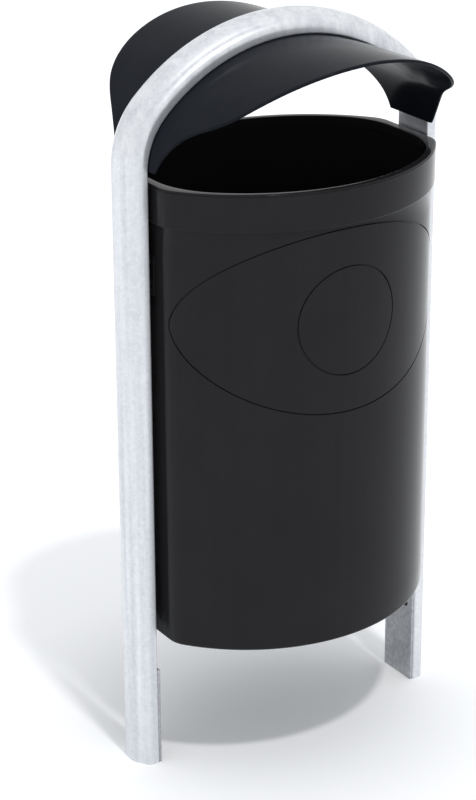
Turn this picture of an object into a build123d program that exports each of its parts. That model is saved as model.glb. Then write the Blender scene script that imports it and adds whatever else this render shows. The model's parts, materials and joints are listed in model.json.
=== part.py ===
"""Arch-framed litter bin: a bent D-section frame, a moulded hood and a tilting moulded bucket.

Millimetres, +Z up. The origin is on the ground, midway between the two posts.
X runs across the bin from the left post to the right one, and -Y is the front.
"""
import math
import os

from build123d import *

# Frame: one bent tube. Its flat inner face runs up a post, round a three-centred arch and down again.
CLEAR_WIDTH = 428.0        # between the flat inner faces of the posts
SPRING_HEIGHT = 838.0      # ground to where the arch starts
ARCH_RISE = 145.6          # arch start to the top of the inner face
HAUNCH_RADIUS = 97.0       # inner face, tight bend above each post
TUBE_DEPTH = 66.0          # front to back
TUBE_THICKNESS = 29.0      # flat face to the crown
TUBE_SIDE_WALL = 8.0       # flat part of the section's front and back
SHOULDER_RADIUS = 12.5     # bend from the side walls to the two long valleys beside the crown
VALLEY_OFFSET = 24.0       # middle plane to each valley
TUBE_WALL = 3.0
TUBE_CORNER_RADIUS = 2.5

# Hood: one moulded sheet under the arch.
HOOD_GAP = 0.3             # hood to the frame's inner face
HOOD_WALL = 4.0
HOOD_START = 3.0           # arch start up to the hood's lower edge
HOOD_CREASE_DEPTH = 46.0   # middle plane to the crease where the visor starts to rise
VISOR_RISE = 0.032         # rise of the visor for each millimetre forward of the crease
HOOD_LEG_HALF_DEPTH = 46.0
HOOD_FRONT_DEPTH = 213.0   # middle plane to the visor's front edge, at the top
HOOD_BACK_DEPTH = 190.0
HOOD_TIP_DEPTH = 146.0     # visor's lower corners, front and back
HOOD_TIP_HEIGHT = 85.0     # the same corners above the arch start

# Bucket: a barrel-shaped plan with flat ends beside the posts, straight walls and a collar.
RIM_BELOW_ARCH = 15.0      # arch start down to the rim
BUCKET_HEIGHT = 632.0
BUCKET_DEPTH = 344.0       # front to back, over the collar
FACE_RADIUS = 250.0        # plan radius of the collar's front and back
END_CORNER_RADIUS = 43.0   # plan radius of the collar's four corners
COLLAR_HEIGHT = 50.0
COLLAR_STEP = 4.5          # collar proud of the body
COLLAR_CHAMFER = 2.0
BUCKET_WALL = 4.0
BUCKET_FLOOR = 5.0
RIM_ROUND = 1.2
RIM_WIDTH = 10.0           # the rim's flat top, front and back
RIM_END_WIDTH = 12.5       # the same at the flat ends
RIM_DEPTH = 14.0           # height of the inward lip under the rim's top
OPENING_FLAT_SHARE = 0.36  # part of the opening's ends that stays straight between its round corners
RIM_LINE_DROP = 2.2        # rim to the middle of the fine line below its outer edge
RIM_LINE_SIZE = 0.8        # that line's depth and half its height
BASE_ROUND = 5.0
END_GAP = 1.5              # collar's flat end to the hanger plate
DRAIN_DIAMETER = 10.0
DRAIN_SPACING = 160.0      # between the two drain holes on each axis

# Moulded lines on the bucket's front: an oval panel line and a round label field.
OVAL_HALF_WIDTH = 202.5
OVAL_HALF_HEIGHT = 124.0
OVAL_DROP = 179.0          # rim to the oval's centre
LABEL_RADIUS = 73.0
LINE_WIDTH = 1.8
LINE_DEPTH = 1.4

# Hanger plates and pivots that carry the bucket.
HANGER_THICKNESS = 4.0
HANGER_WIDTH = 44.0
HANGER_BELOW_PIVOT = 45.0
HANGER_BELOW_RIM = 12.0    # rim down to the top of the hanger plate
PIVOT_DROP = 123.0         # rim to the pivot axis
PIN_DIAMETER = 12.0
PIN_CLEARANCE = 0.06       # radial, pin in bush
BUSH_WALL = 2.0
BUSH_FLANGE_DIAMETER = 24.0
PIVOT_PLATE_SIZE = 54.0
PIVOT_PLATE_THICKNESS = 2.5
PIVOT_WASHER_THICKNESS = 0.8
PLATE_SCREW_SPACING = 40.0
STOP_RADIUS = 17.0         # pivot axis to the stop pin
STOP_PIN_DIAMETER = 6.0
TILT_ANGLE = 110.0         # forward tilt for emptying
STOP_CLEARANCE = 0.3
RUN_GAP = 0.2              # between flat faces that turn past each other
FIT_CLEARANCE = 0.05       # radial, fixed pieces in their holes

# Key-operated cam lock at the left end of the bucket, drawn on the right and mirrored.
LOCK_ABOVE_PIVOT = 48.0
LOCK_BODY_DIAMETER = 16.0
LOCK_FLANGE_DIAMETER = 22.0
LOCK_FLANGE_THICKNESS = 3.0
LOCK_CORE_DIAMETER = 10.0
KEY_SIDE = 8.0             # triangle for the key
KEY_LENGTH = 7.0
CLIP_THICKNESS = 0.8
CAM_THICKNESS = 2.0
CAM_WIDTH = 8.0
CAM_REACH = 20.0
CAM_HUB_DIAMETER = 14.0
CAM_SCREW_HEAD = 1.5
KEEPER_PLAY = 0.5          # cam to the keeper when locked
KEEPER_HEIGHT = 12.0
KEEPER_FLANGE = 13.0
KEEPER_THICKNESS = 2.5
KEEPER_REACH = 4.4         # keeper's tab from the hanger plate towards the bucket

# Feet.
FOOT_PLATE_THICKNESS = 4.2
FOOT_PLATE_HEIGHT = 142.0
FOOT_SCREW_HEIGHT = 120.0
PLUG_LENGTH = 25.0
PLUG_GAP = 0.2

# Screws: thread diameters, then heads and nuts as multiples of them.
FRAME_SCREW = 6.0
HOOD_SCREW = 5.0
PLATE_SCREW = 4.0
HEAD_RATIO = 1.9
WASHER_RATIO = 2.4
NUT_RATIO = 1.7
NUT_HEIGHT_RATIO = 0.8
SCREW_PAIR_SPACING = 32.0  # front to back, on the hood and the foot plates
HOOD_SCREW_ANGLE = 65.0    # from the horizontal, round the crown's centre
WASHER_THICKNESS = 1.2

half_span = CLEAR_WIDTH / 2
crown_radius = (half_span**2 + ARCH_RISE**2 - 2 * half_span * HAUNCH_RADIUS) / (2 * (ARCH_RISE - HAUNCH_RADIUS))
haunch_x = half_span - HAUNCH_RADIUS
crown_drop = crown_radius - ARCH_RISE
haunch_angle = math.degrees(math.atan2(crown_drop, haunch_x))

hood_bottom = SPRING_HEIGHT + HOOD_START
rim_height = SPRING_HEIGHT - RIM_BELOW_ARCH
hanger_face = half_span - HANGER_THICKNESS
rim_half_length = hanger_face - END_GAP
body_half_length = rim_half_length - COLLAR_STEP
inner_half_length = body_half_length - BUCKET_WALL
collar_bottom = rim_height - COLLAR_HEIGHT
bucket_bottom = rim_height - BUCKET_HEIGHT
pivot_height = rim_height - PIVOT_DROP
hanger_bottom = pivot_height - HANGER_BELOW_PIVOT
hanger_top = rim_height - HANGER_BELOW_RIM
lock_height = pivot_height + LOCK_ABOVE_PIVOT
bush_diameter = PIN_DIAMETER + 2 * (PIN_CLEARANCE + BUSH_WALL)
pivot_plate_face = body_half_length + PIVOT_PLATE_THICKNESS
bush_face = pivot_plate_face + PIVOT_WASHER_THICKNESS + RUN_GAP
tube_inner_face = half_span + TUBE_WALL
bush_end = tube_inner_face + RUN_GAP
hanger_screw_inset = 2 * FRAME_SCREW
washer_diameter = HOOD_SCREW * WASHER_RATIO
EPS = 1.0                  # how far a cutting tool runs past the face it cuts


def cylinder_x(diameter, x0, x1, y=0.0, z=0.0):
    """A round bar along X from x0 to x1."""
    return Pos((x0 + x1) / 2, y, z) * Rot(0, 90, 0) * Cylinder(diameter / 2, x1 - x0)


def block(x0, x1, y0, y1, z0, z1):
    """A box between two corners."""
    return Pos((x0 + x1) / 2, (y0 + y1) / 2, (z0 + z1) / 2) * Box(x1 - x0, y1 - y0, z1 - z0)


def to_left(shape):
    """The same piece on the left side of the bin."""
    return mirror(shape, about=Plane.YZ)


def countersunk_screw(thread, head_face, length, y, z):
    """A countersunk screw along +X with its flat head flush at x = head_face."""
    head = thread * HEAD_RATIO
    cone_height = (head - thread) / 2
    cone = Pos(head_face + cone_height / 2, y, z) * Rot(0, -90, 0) * Cone(thread / 2, head / 2, cone_height)
    return cone + cylinder_x(thread, head_face, head_face + length, y, z)


def countersunk_hole(thread, head_face, length, y, z):
    """The hole that takes a countersunk screw, with its fixed clearance."""
    head = thread * HEAD_RATIO + 2 * FIT_CLEARANCE
    bore = thread + 2 * FIT_CLEARANCE
    cone_height = (head - bore) / 2
    cone = Pos(head_face + cone_height / 2, y, z) * Rot(0, -90, 0) * Cone(bore / 2, head / 2, cone_height)
    return cone + cylinder_x(bore, head_face - EPS, head_face + length, y, z)


def square_nut(thread, x0, y, z):
    """A square nut whose face towards the screw head is at x0."""
    side = thread * NUT_RATIO
    height = thread * NUT_HEIGHT_RATIO
    body = block(x0, x0 + height, y - side / 2, y + side / 2, z - side / 2, z + side / 2)
    return body - cylinder_x(thread + 2 * FIT_CLEARANCE, x0 - EPS, x0 + height + EPS, y, z)


# ---------------------------------------------------------------- frame

def arch_edges(inset, low):
    """Edges of the frame's inner line moved inwards by inset, from the left foot to the right one."""
    span = half_span - inset
    haunch = HAUNCH_RADIUS - inset
    crown = crown_radius - inset
    crown_sweep = 180 - 2 * haunch_angle
    return [
        Line((-span, low), (-span, SPRING_HEIGHT)),
        CenterArc((-haunch_x, SPRING_HEIGHT), haunch, 180, -haunch_angle),
        CenterArc((0, SPRING_HEIGHT - crown_drop), crown, 180 - haunch_angle, -crown_sweep),
        CenterArc((haunch_x, SPRING_HEIGHT), haunch, haunch_angle, -haunch_angle),
        Line((span, SPRING_HEIGHT), (span, low)),
    ]


def tube_space(shrink):
    """The section's space inside the wall, smaller by shrink, flat face on the Y axis and crown towards +X."""
    half = TUBE_DEPTH / 2 - shrink
    side = TUBE_SIDE_WALL
    base = Polyline((side, -half), (shrink, -half), (shrink, half), (side, half))
    crown = ThreePointArc((side, half), (TUBE_THICKNESS - shrink, 0), (side, -half))
    return make_face(base.edges() + crown.edges())


def tube_outline():
    """The section's outside: flat inner face, side walls, rounded shoulders, two valleys and a domed crown."""
    half = TUBE_DEPTH / 2
    side = TUBE_SIDE_WALL
    centre_y = half - SHOULDER_RADIUS
    turn = math.degrees(math.asin((VALLEY_OFFSET - centre_y) / SHOULDER_RADIUS))
    valley = side + SHOULDER_RADIUS * math.cos(math.radians(turn))
    edges = [
        CenterArc((side, centre_y), SHOULDER_RADIUS, turn, 90 - turn),
        ThreePointArc((valley, VALLEY_OFFSET), (TUBE_THICKNESS, 0), (valley, -VALLEY_OFFSET)),
        CenterArc((side, -centre_y), SHOULDER_RADIUS, -90, 90 - turn),
        Line((side, -half), (0, -half)),
        Line((0, -half), (0, half)),
        Line((0, half), (side, half)),
    ]
    face = make_face(edges)
    return fillet(face.vertices().filter_by(lambda v: v.X < TUBE_WALL), TUBE_CORNER_RADIUS)


def along_arch(section):
    """Carry a section drawn with tube_outline's axes along the frame's inner line."""
    path = Plane.XZ * Wire(arch_edges(0, 0))
    start = Plane(origin=(-half_span, 0, 0), x_dir=(-1, 0, 0), z_dir=(0, 0, 1))
    return sweep(start * section, path=path)


def hood_fixing(x0, x1, diameter, y):
    """A bar along the hood screw's line on the right, between two radii of the crown."""
    bar = cylinder_x(diameter, x0, x1, y)
    return Pos(0, 0, SPRING_HEIGHT - crown_drop) * Rot(0, -HOOD_SCREW_ANGLE, 0) * bar


def make_arch_frame():
    """The bent tube with the holes for its pivots and screws."""
    tube = along_arch(tube_outline()) - along_arch(tube_space(TUBE_WALL))
    wall = (half_span - EPS, tube_inner_face + EPS)
    cuts = [cylinder_x(bush_diameter + 2 * FIT_CLEARANCE, *wall, 0, pivot_height)]
    screw_bore = FRAME_SCREW + 2 * FIT_CLEARANCE
    cuts += [cylinder_x(screw_bore, *wall, 0, z) for z in hanger_screw_heights()]
    cuts += [cylinder_x(screw_bore, *wall, y, FOOT_SCREW_HEIGHT) for y in pair_positions()]
    crown_wall = (crown_radius - EPS, crown_radius + TUBE_WALL + EPS)
    cuts += [hood_fixing(*crown_wall, HOOD_SCREW + 2 * FIT_CLEARANCE, y) for y in pair_positions()]
    for cut in cuts:
        tube = tube - cut - to_left(cut)
    return tube


def pair_positions():
    """Front and back places of a pair of screws."""
    return (-SCREW_PAIR_SPACING / 2, SCREW_PAIR_SPACING / 2)


def make_foot_plug():
    """The plug that closes the right post's lower end."""
    section = tube_space(TUBE_WALL + PLUG_GAP)
    place = Plane(origin=(half_span, 0, 0), x_dir=(1, 0, 0), z_dir=(0, 0, 1))
    return extrude(place * section, PLUG_LENGTH)


def make_foot_plate():
    """The anchor plate on the right post's inner face."""
    inner = half_span - FOOT_PLATE_THICKNESS
    half = TUBE_DEPTH / 2 - TUBE_CORNER_RADIUS / 2
    plate = block(inner, half_span, -half, half, 0, FOOT_PLATE_HEIGHT)
    for y in pair_positions():
        plate -= countersunk_hole(FRAME_SCREW, inner, FOOT_PLATE_THICKNESS + EPS, y, FOOT_SCREW_HEIGHT)
    return plate


def make_foot_screws():
    """The right foot plate's screws."""
    inner = half_span - FOOT_PLATE_THICKNESS
    length = FOOT_PLATE_THICKNESS + TUBE_WALL + FRAME_SCREW
    return [countersunk_screw(FRAME_SCREW, inner, length, y, FOOT_SCREW_HEIGHT) for y in pair_positions()]


def make_foot_nuts():
    """The nuts inside the right post behind the foot plate."""
    return [square_nut(FRAME_SCREW, tube_inner_face, y, FOOT_SCREW_HEIGHT) for y in pair_positions()]


# ---------------------------------------------------------------- hood

def vault_face(y):
    """The hood sheet's cross-section, standing across the bin at y."""
    low = SPRING_HEIGHT - 2 * HOOD_WALL
    outer = arch_edges(HOOD_GAP, low)
    inner = arch_edges(HOOD_GAP + HOOD_WALL, low)
    ends = [Line(outer[0] @ 0, inner[0] @ 0), Line(outer[-1] @ 1, inner[-1] @ 1)]
    plane = Plane(origin=(0, y, 0), x_dir=(1, 0, 0), z_dir=(0, -1, 0))
    return plane * make_face(outer + inner + ends)


def hood_outline():
    """The hood's side view: narrow legs that sweep out to the visor's corners, front and back."""
    top = SPRING_HEIGHT + ARCH_RISE
    tip = SPRING_HEIGHT + HOOD_TIP_HEIGHT
    leg = HOOD_LEG_HALF_DEPTH
    reach = HOOD_TIP_DEPTH - leg
    rise = tip - hood_bottom
    front = Spline(
        (-leg, hood_bottom), (-leg - 0.11 * reach, hood_bottom + 0.21 * rise),
        (-leg - 0.51 * reach, hood_bottom + 0.7 * rise), (-HOOD_TIP_DEPTH, tip),
        (-(HOOD_TIP_DEPTH + HOOD_FRONT_DEPTH) / 2, (tip + top) / 2), (-HOOD_FRONT_DEPTH, top + HOOD_WALL),
    )
    back = Spline(
        (leg, hood_bottom), (leg + 0.13 * reach, hood_bottom + 0.29 * rise),
        (leg + 0.41 * reach, hood_bottom + 0.62 * rise), (HOOD_TIP_DEPTH - 6, tip),
        (HOOD_BACK_DEPTH - 19, (tip + top) / 2), (HOOD_BACK_DEPTH, top),
    )
    clear = top + 0.1 * HOOD_FRONT_DEPTH
    closing = Polyline(
        front @ 1, (-HOOD_FRONT_DEPTH, clear), (HOOD_BACK_DEPTH, clear), back @ 1,
    )
    return make_face([front, back, Line((-leg, hood_bottom), (leg, hood_bottom))] + list(closing.edges()))


def make_hood_shell():
    """The hood: a straight vault behind the crease, a slightly rising visor in front of it."""
    face = vault_face(-HOOD_CREASE_DEPTH)
    straight = extrude(face, -(HOOD_CREASE_DEPTH + HOOD_BACK_DEPTH + EPS), dir=(0, -1, 0))
    forward = Vector(0, -1, VISOR_RISE)
    visor = extrude(face, (HOOD_FRONT_DEPTH - HOOD_CREASE_DEPTH + EPS) * forward.length, dir=forward)
    side = Plane(origin=(-half_span, 0, 0), x_dir=(0, 1, 0), z_dir=(1, 0, 0)) * hood_outline()
    hood = (straight + visor) & extrude(side, CLEAR_WIDTH)
    bore = HOOD_SCREW + 2 * FIT_CLEARANCE
    for y in pair_positions():
        cut = hood_fixing(crown_radius - 3 * HOOD_WALL, crown_radius + EPS, bore, y)
        hood = hood - cut - to_left(cut)
    return hood


def hood_seat():
    """Distance from the crown's centre at which a flat washer's rim meets the hood's hollow inner face."""
    return math.sqrt((crown_radius - HOOD_GAP - HOOD_WALL) ** 2 - (washer_diameter / 2) ** 2)


def make_hood_washers():
    """The washers under the right hood screws."""
    seat = hood_seat()
    washers = []
    for y in pair_positions():
        disc = hood_fixing(seat - WASHER_THICKNESS, seat, washer_diameter, y)
        hole = hood_fixing(seat - WASHER_THICKNESS - EPS, seat + EPS, HOOD_SCREW + 2 * FIT_CLEARANCE, y)
        washers.append(disc - hole)
    return washers


def make_hood_screws():
    """Button-head screws up through the right half of the hood into the tube."""
    seat = hood_seat() - WASHER_THICKNESS
    head = HOOD_SCREW * 0.55
    end = crown_radius + TUBE_WALL + HOOD_SCREW
    screws = []
    for y in pair_positions():
        button = hood_fixing(seat - head, seat, HOOD_SCREW * HEAD_RATIO, y)
        button = chamfer(button.edges().filter_by(GeomType.CIRCLE).sort_by(Axis.Z)[0], head * 0.4)
        screws.append(button + hood_fixing(seat - head / 2, end, HOOD_SCREW, y))
    return screws


def make_hood_nuts():
    """Round rivet nuts inside the tube above the right half of the hood."""
    start = crown_radius + TUBE_WALL
    end = start + HOOD_SCREW * NUT_HEIGHT_RATIO
    nuts = []
    for y in pair_positions():
        body = hood_fixing(start, end, HOOD_SCREW * NUT_RATIO, y)
        nuts.append(body - hood_fixing(start - EPS, end + EPS, HOOD_SCREW + 2 * FIT_CLEARANCE, y))
    return nuts


# ---------------------------------------------------------------- bucket

def barrel_plan(half_length, corner, face):
    """A barrel-shaped plan with flat ends, from its half length and its two radii."""
    face_shift = FACE_RADIUS - BUCKET_DEPTH / 2
    corner_x = half_length - corner
    corner_y = math.sqrt((face - corner) ** 2 - corner_x**2) - face_shift
    turn = math.degrees(math.atan2(corner_y + face_shift, corner_x))
    edges = [
        CenterArc((0, -face_shift), face, turn, 180 - 2 * turn),
        CenterArc((-corner_x, corner_y), corner, 180 - turn, turn),
        CenterArc((-corner_x, -corner_y), corner, 180, turn),
        CenterArc((0, face_shift), face, 180 + turn, 180 - 2 * turn),
        CenterArc((corner_x, -corner_y), corner, -turn, turn),
        CenterArc((corner_x, corner_y), corner, 0, turn),
        Line((-corner_x - corner, corner_y), (-corner_x - corner, -corner_y)),
        Line((corner_x + corner, -corner_y), (corner_x + corner, corner_y)),
    ]
    return make_face(edges)


def bucket_plan(grow):
    """The bucket's plan, moved outwards from the collar's outline by grow."""
    return barrel_plan(rim_half_length + grow, END_CORNER_RADIUS + grow, FACE_RADIUS + grow)


def bucket_prism(grow, low, high):
    """A straight prism of the bucket's plan between two heights."""
    return extrude(Pos(0, 0, low) * bucket_plan(grow), high - low)


def ring_prism(half_width, half_height, z):
    """A narrow upright ring, run forwards and backwards through the bucket's front wall."""
    plane = Plane(origin=(0, 0, z), x_dir=(1, 0, 0), z_dir=(0, -1, 0))
    outer = Ellipse(half_width + LINE_WIDTH / 2, half_height + LINE_WIDTH / 2)
    inner = Ellipse(half_width - LINE_WIDTH / 2, half_height - LINE_WIDTH / 2)
    return extrude(plane * (outer - inner), BUCKET_DEPTH)


def moulded_lines():
    """The two shallow lines sunk into the bucket's front."""
    core = bucket_prism(-COLLAR_STEP - LINE_DEPTH, bucket_bottom - EPS, rim_height + EPS)
    centre = rim_height - OVAL_DROP
    oval = ring_prism(OVAL_HALF_WIDTH, OVAL_HALF_HEIGHT, centre)
    label = ring_prism(LABEL_RADIUS, LABEL_RADIUS, centre)
    return (oval + label) - core


def rim_line():
    """The fine line that runs round the collar just below the rim's outer edge."""
    low = rim_height - RIM_LINE_DROP - RIM_LINE_SIZE
    high = low + 2 * RIM_LINE_SIZE
    return bucket_prism(EPS, low, high) - bucket_prism(-RIM_LINE_SIZE, low - EPS, high + EPS)


def opening():
    """The bucket's opening, smaller than the hollow below it so that a lip turns inwards."""
    half_length = rim_half_length - RIM_END_WIDTH
    face = FACE_RADIUS - RIM_WIDTH
    face_shift = FACE_RADIUS - BUCKET_DEPTH / 2
    straight = OPENING_FLAT_SHARE * (math.sqrt(face**2 - half_length**2) - face_shift)
    corner = (face**2 - half_length**2 - (straight + face_shift) ** 2) / (2 * (face - half_length))
    plan = barrel_plan(half_length, corner, face)
    return extrude(Pos(0, 0, rim_height - RIM_DEPTH - EPS) * plan, RIM_DEPTH + 2 * EPS)


def plate_screw_places():
    """Places of the four screws round each pivot."""
    half = PLATE_SCREW_SPACING / 2
    return [(y, pivot_height + z) for y in (-half, half) for z in (-half, half)]


def make_bucket_shell():
    """The moulded bucket with its collar, flat rim, moulded lines and drain holes."""
    body = bucket_prism(-COLLAR_STEP, bucket_bottom, collar_bottom + EPS)
    body = fillet(body.edges().group_by(Axis.Z)[0], BASE_ROUND)
    collar = bucket_prism(0, collar_bottom, rim_height)
    collar = fillet(collar.edges().group_by(Axis.Z)[-1], RIM_ROUND)
    collar = chamfer(collar.edges().group_by(Axis.Z)[0], COLLAR_CHAMFER)
    shell = body + collar
    shell -= bucket_prism(-COLLAR_STEP - BUCKET_WALL, bucket_bottom + BUCKET_FLOOR, rim_height - RIM_DEPTH)
    shell -= opening()
    shell = fillet(shell.faces().sort_by(Axis.Z)[-1].inner_wires()[0].edges(), RIM_ROUND)
    shell -= moulded_lines() + rim_line()
    half = DRAIN_SPACING / 2
    for x, y in ((-half, 0), (half, 0), (0, -half), (0, half)):
        shell -= Pos(x, y, bucket_bottom) * Cylinder(DRAIN_DIAMETER / 2, 4 * BUCKET_FLOOR)
    wall = (inner_half_length - EPS, body_half_length + EPS)
    for y, z in plate_screw_places():
        cut = cylinder_x(PLATE_SCREW + 2 * FIT_CLEARANCE, *wall, y, z)
        shell = shell - cut - to_left(cut)
    return shell - to_left(cylinder_x(LOCK_BODY_DIAMETER + 2 * FIT_CLEARANCE, *wall, 0, lock_height))


# ---------------------------------------------------------------- hangers and pivots, right side

def hanger_screw_heights():
    """Heights of the two screws that hold each hanger plate."""
    return (hanger_bottom + hanger_screw_inset, hanger_top - 1.5 * hanger_screw_inset)


def stop_place(angle):
    """Y and Z of the stop pin when the bucket has turned by angle."""
    turn = math.radians(-90 - TILT_ANGLE / 2 + angle)
    return STOP_RADIUS * math.cos(turn), pivot_height + STOP_RADIUS * math.sin(turn)


def stop_slot():
    """The curved slot that lets the stop pin travel through the tilt."""
    width = STOP_PIN_DIAMETER + 2 * STOP_CLEARANCE
    x0, x1 = hanger_face - EPS, half_span + EPS
    ring = cylinder_x(2 * STOP_RADIUS + width, x0, x1) - cylinder_x(2 * STOP_RADIUS - width, x0 - 1, x1 + 1)
    reach = 4 * STOP_RADIUS
    half_turn = math.radians(TILT_ANGLE / 2)
    side = reach * math.sin(half_turn)
    drop = reach * math.cos(half_turn)
    wedge = make_face(Polyline((0, 0), (-side, -drop), (0, -2 * reach), (side, -drop), close=True))
    wedge = Plane(origin=(x0, 0, 0), x_dir=(0, 1, 0), z_dir=(1, 0, 0)) * wedge
    slot = Pos(0, 0, pivot_height) * (ring & extrude(wedge, x1 - x0))
    for angle in (0, TILT_ANGLE):
        slot += cylinder_x(width, x0, x1, *stop_place(angle))
    return slot


def make_hanger_plate(with_keeper):
    """The plate on a post that carries the pivot bush and limits the tilt."""
    half = HANGER_WIDTH / 2
    plate = block(hanger_face, half_span, -half, half, hanger_bottom, hanger_top)
    plate -= cylinder_x(bush_diameter + 2 * FIT_CLEARANCE, hanger_face - EPS, half_span + EPS, 0, pivot_height)
    plate -= stop_slot()
    for z in hanger_screw_heights():
        plate -= countersunk_hole(FRAME_SCREW, hanger_face, HANGER_THICKNESS + EPS, 0, z)
    if with_keeper:
        y, z = keeper_rivet_place()
        plate -= cylinder_x(PLATE_SCREW + 2 * FIT_CLEARANCE, hanger_face - EPS, half_span + EPS, y, z)
    return plate


def make_hanger_screws():
    """The right hanger plate's screws."""
    length = HANGER_THICKNESS + TUBE_WALL + FRAME_SCREW
    return [countersunk_screw(FRAME_SCREW, hanger_face, length, 0, z) for z in hanger_screw_heights()]


def make_hanger_nuts():
    """The nuts inside the right post behind the hanger plate."""
    return [square_nut(FRAME_SCREW, tube_inner_face, 0, z) for z in hanger_screw_heights()]


def make_pivot_bush():
    """The flanged bush in the hanger plate and the post's wall."""
    body = cylinder_x(BUSH_FLANGE_DIAMETER, bush_face, hanger_face, 0, pivot_height)
    body += cylinder_x(bush_diameter, hanger_face - EPS, bush_end, 0, pivot_height)
    bore = PIN_DIAMETER + 2 * PIN_CLEARANCE
    return body - cylinder_x(bore, bush_face - EPS, bush_end + EPS, 0, pivot_height)


def make_pivot_pin():
    """The pin that the bucket tilts on, fixed in the pivot plate."""
    pin = cylinder_x(PIN_DIAMETER, body_half_length, tube_inner_face, 0, pivot_height)
    return chamfer(pin.edges().sort_by(Axis.X)[-1], BUSH_WALL / 2)


def make_pivot_washer():
    """The thin washer that keeps the bucket central between the bushes."""
    x0 = pivot_plate_face
    x1 = x0 + PIVOT_WASHER_THICKNESS
    disc = cylinder_x(BUSH_FLANGE_DIAMETER, x0, x1, 0, pivot_height)
    bore = PIN_DIAMETER + 2 * FIT_CLEARANCE
    return disc - cylinder_x(bore, x0 - EPS, x1 + EPS, 0, pivot_height)


def rounded_plate(x0, x1):
    """A square plate with rounded corners round the pivot axis."""
    half = PIVOT_PLATE_SIZE / 2
    plate = block(x0, x1, -half, half, pivot_height - half, pivot_height + half)
    return fillet(plate.edges().filter_by(Axis.X), PLATE_SCREW)


def make_pivot_plate():
    """The outer plate that carries the pivot pin and the stop pin."""
    plate = rounded_plate(body_half_length, pivot_plate_face)
    x0, x1 = body_half_length - EPS, pivot_plate_face + EPS
    plate -= cylinder_x(PIN_DIAMETER + 2 * FIT_CLEARANCE, x0, x1, 0, pivot_height)
    plate -= cylinder_x(STOP_PIN_DIAMETER + 2 * FIT_CLEARANCE, x0, x1, *stop_place(0))
    for y, z in plate_screw_places():
        hole = to_left(countersunk_hole(PLATE_SCREW, 0, PIVOT_PLATE_THICKNESS + EPS, y, z))
        plate -= Pos(pivot_plate_face, 0, 0) * hole
    return plate


def make_backing_plate():
    """The plate inside the bucket under the nuts."""
    plate = rounded_plate(inner_half_length - WASHER_THICKNESS, inner_half_length)
    for y, z in plate_screw_places():
        bore = PLATE_SCREW + 2 * FIT_CLEARANCE
        plate -= cylinder_x(bore, inner_half_length - 2 * WASHER_THICKNESS, inner_half_length + EPS, y, z)
    return plate


def make_plate_screws():
    """Screws through the pivot plate, the bucket's wall and the backing plate."""
    length = PIVOT_PLATE_THICKNESS + BUCKET_WALL + WASHER_THICKNESS + PLATE_SCREW * 1.2
    screws = []
    for y, z in plate_screw_places():
        screws.append(Pos(pivot_plate_face, 0, 0) * to_left(countersunk_screw(PLATE_SCREW, 0, length, y, z)))
    return screws


def make_plate_nuts():
    """Hexagon nuts on the inside of the bucket."""
    seat = inner_half_length - WASHER_THICKNESS
    height = PLATE_SCREW * NUT_HEIGHT_RATIO
    nuts = []
    for y, z in plate_screw_places():
        nut = Rot(0, 90, 0) * extrude(RegularPolygon(PLATE_SCREW * NUT_RATIO / 2, 6, major_radius=False), height)
        bore = cylinder_x(PLATE_SCREW + 2 * FIT_CLEARANCE, -EPS, height + EPS)
        nuts.append(Pos(seat - height, y, z) * (nut - bore))
    return nuts


def make_stop_pin():
    """The pin that runs in the hanger plate's curved slot."""
    y, z = stop_place(0)
    return cylinder_x(STOP_PIN_DIAMETER, body_half_length, half_span - STOP_CLEARANCE, y, z)


# ---------------------------------------------------------------- lock

cam_face = body_half_length + CLIP_THICKNESS + 2 * RUN_GAP
cam_end = cam_face + CAM_THICKNESS
keeper_front = -CAM_WIDTH / 2 - KEEPER_PLAY
keeper_bottom = lock_height + CAM_REACH - KEEPER_HEIGHT + CAM_WIDTH / 2


def make_lock_barrel():
    """The lock's fixed barrel, with its flange inside the bucket."""
    body = cylinder_x(LOCK_FLANGE_DIAMETER, inner_half_length - LOCK_FLANGE_THICKNESS, inner_half_length)
    body += cylinder_x(LOCK_BODY_DIAMETER, inner_half_length - EPS, body_half_length + CLIP_THICKNESS)
    bore = LOCK_CORE_DIAMETER + 2 * PIN_CLEARANCE
    body -= cylinder_x(bore, inner_half_length - 2 * LOCK_FLANGE_THICKNESS, body_half_length + 2 * EPS)
    return Pos(0, 0, lock_height) * body


def make_lock_clip():
    """The spring clip that holds the barrel in the bucket's wall."""
    clip = cylinder_x(LOCK_FLANGE_DIAMETER, body_half_length, body_half_length + CLIP_THICKNESS)
    bore = LOCK_BODY_DIAMETER + 2 * FIT_CLEARANCE
    clip -= cylinder_x(bore, body_half_length - EPS, body_half_length + CLIP_THICKNESS + EPS)
    return Pos(0, 0, lock_height) * clip


def make_lock_core():
    """The turning core with the triangle for the key."""
    start = inner_half_length - LOCK_FLANGE_THICKNESS
    core = cylinder_x(LOCK_CORE_DIAMETER, start, cam_face)
    key = Rot(0, 90, 0) * extrude(RegularPolygon(KEY_SIDE / math.sqrt(3), 3), KEY_LENGTH)
    core += Pos(start - KEY_LENGTH, 0, 0) * key
    core -= cylinder_x(PLATE_SCREW, cam_face - 2 * PLATE_SCREW, cam_face + EPS)
    return Pos(0, 0, lock_height) * core


def make_lock_cam():
    """The cam, pointing back when unlocked and up when locked."""
    half = CAM_WIDTH / 2
    cam = cylinder_x(CAM_HUB_DIAMETER, cam_face, cam_end)
    cam += block(cam_face, cam_end, 0, CAM_REACH - half, -half, half)
    cam += cylinder_x(CAM_WIDTH, cam_face, cam_end, CAM_REACH - half)
    cam -= cylinder_x(PLATE_SCREW + 2 * FIT_CLEARANCE, cam_face - EPS, cam_end + EPS)
    return Pos(0, 0, lock_height) * cam


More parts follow.
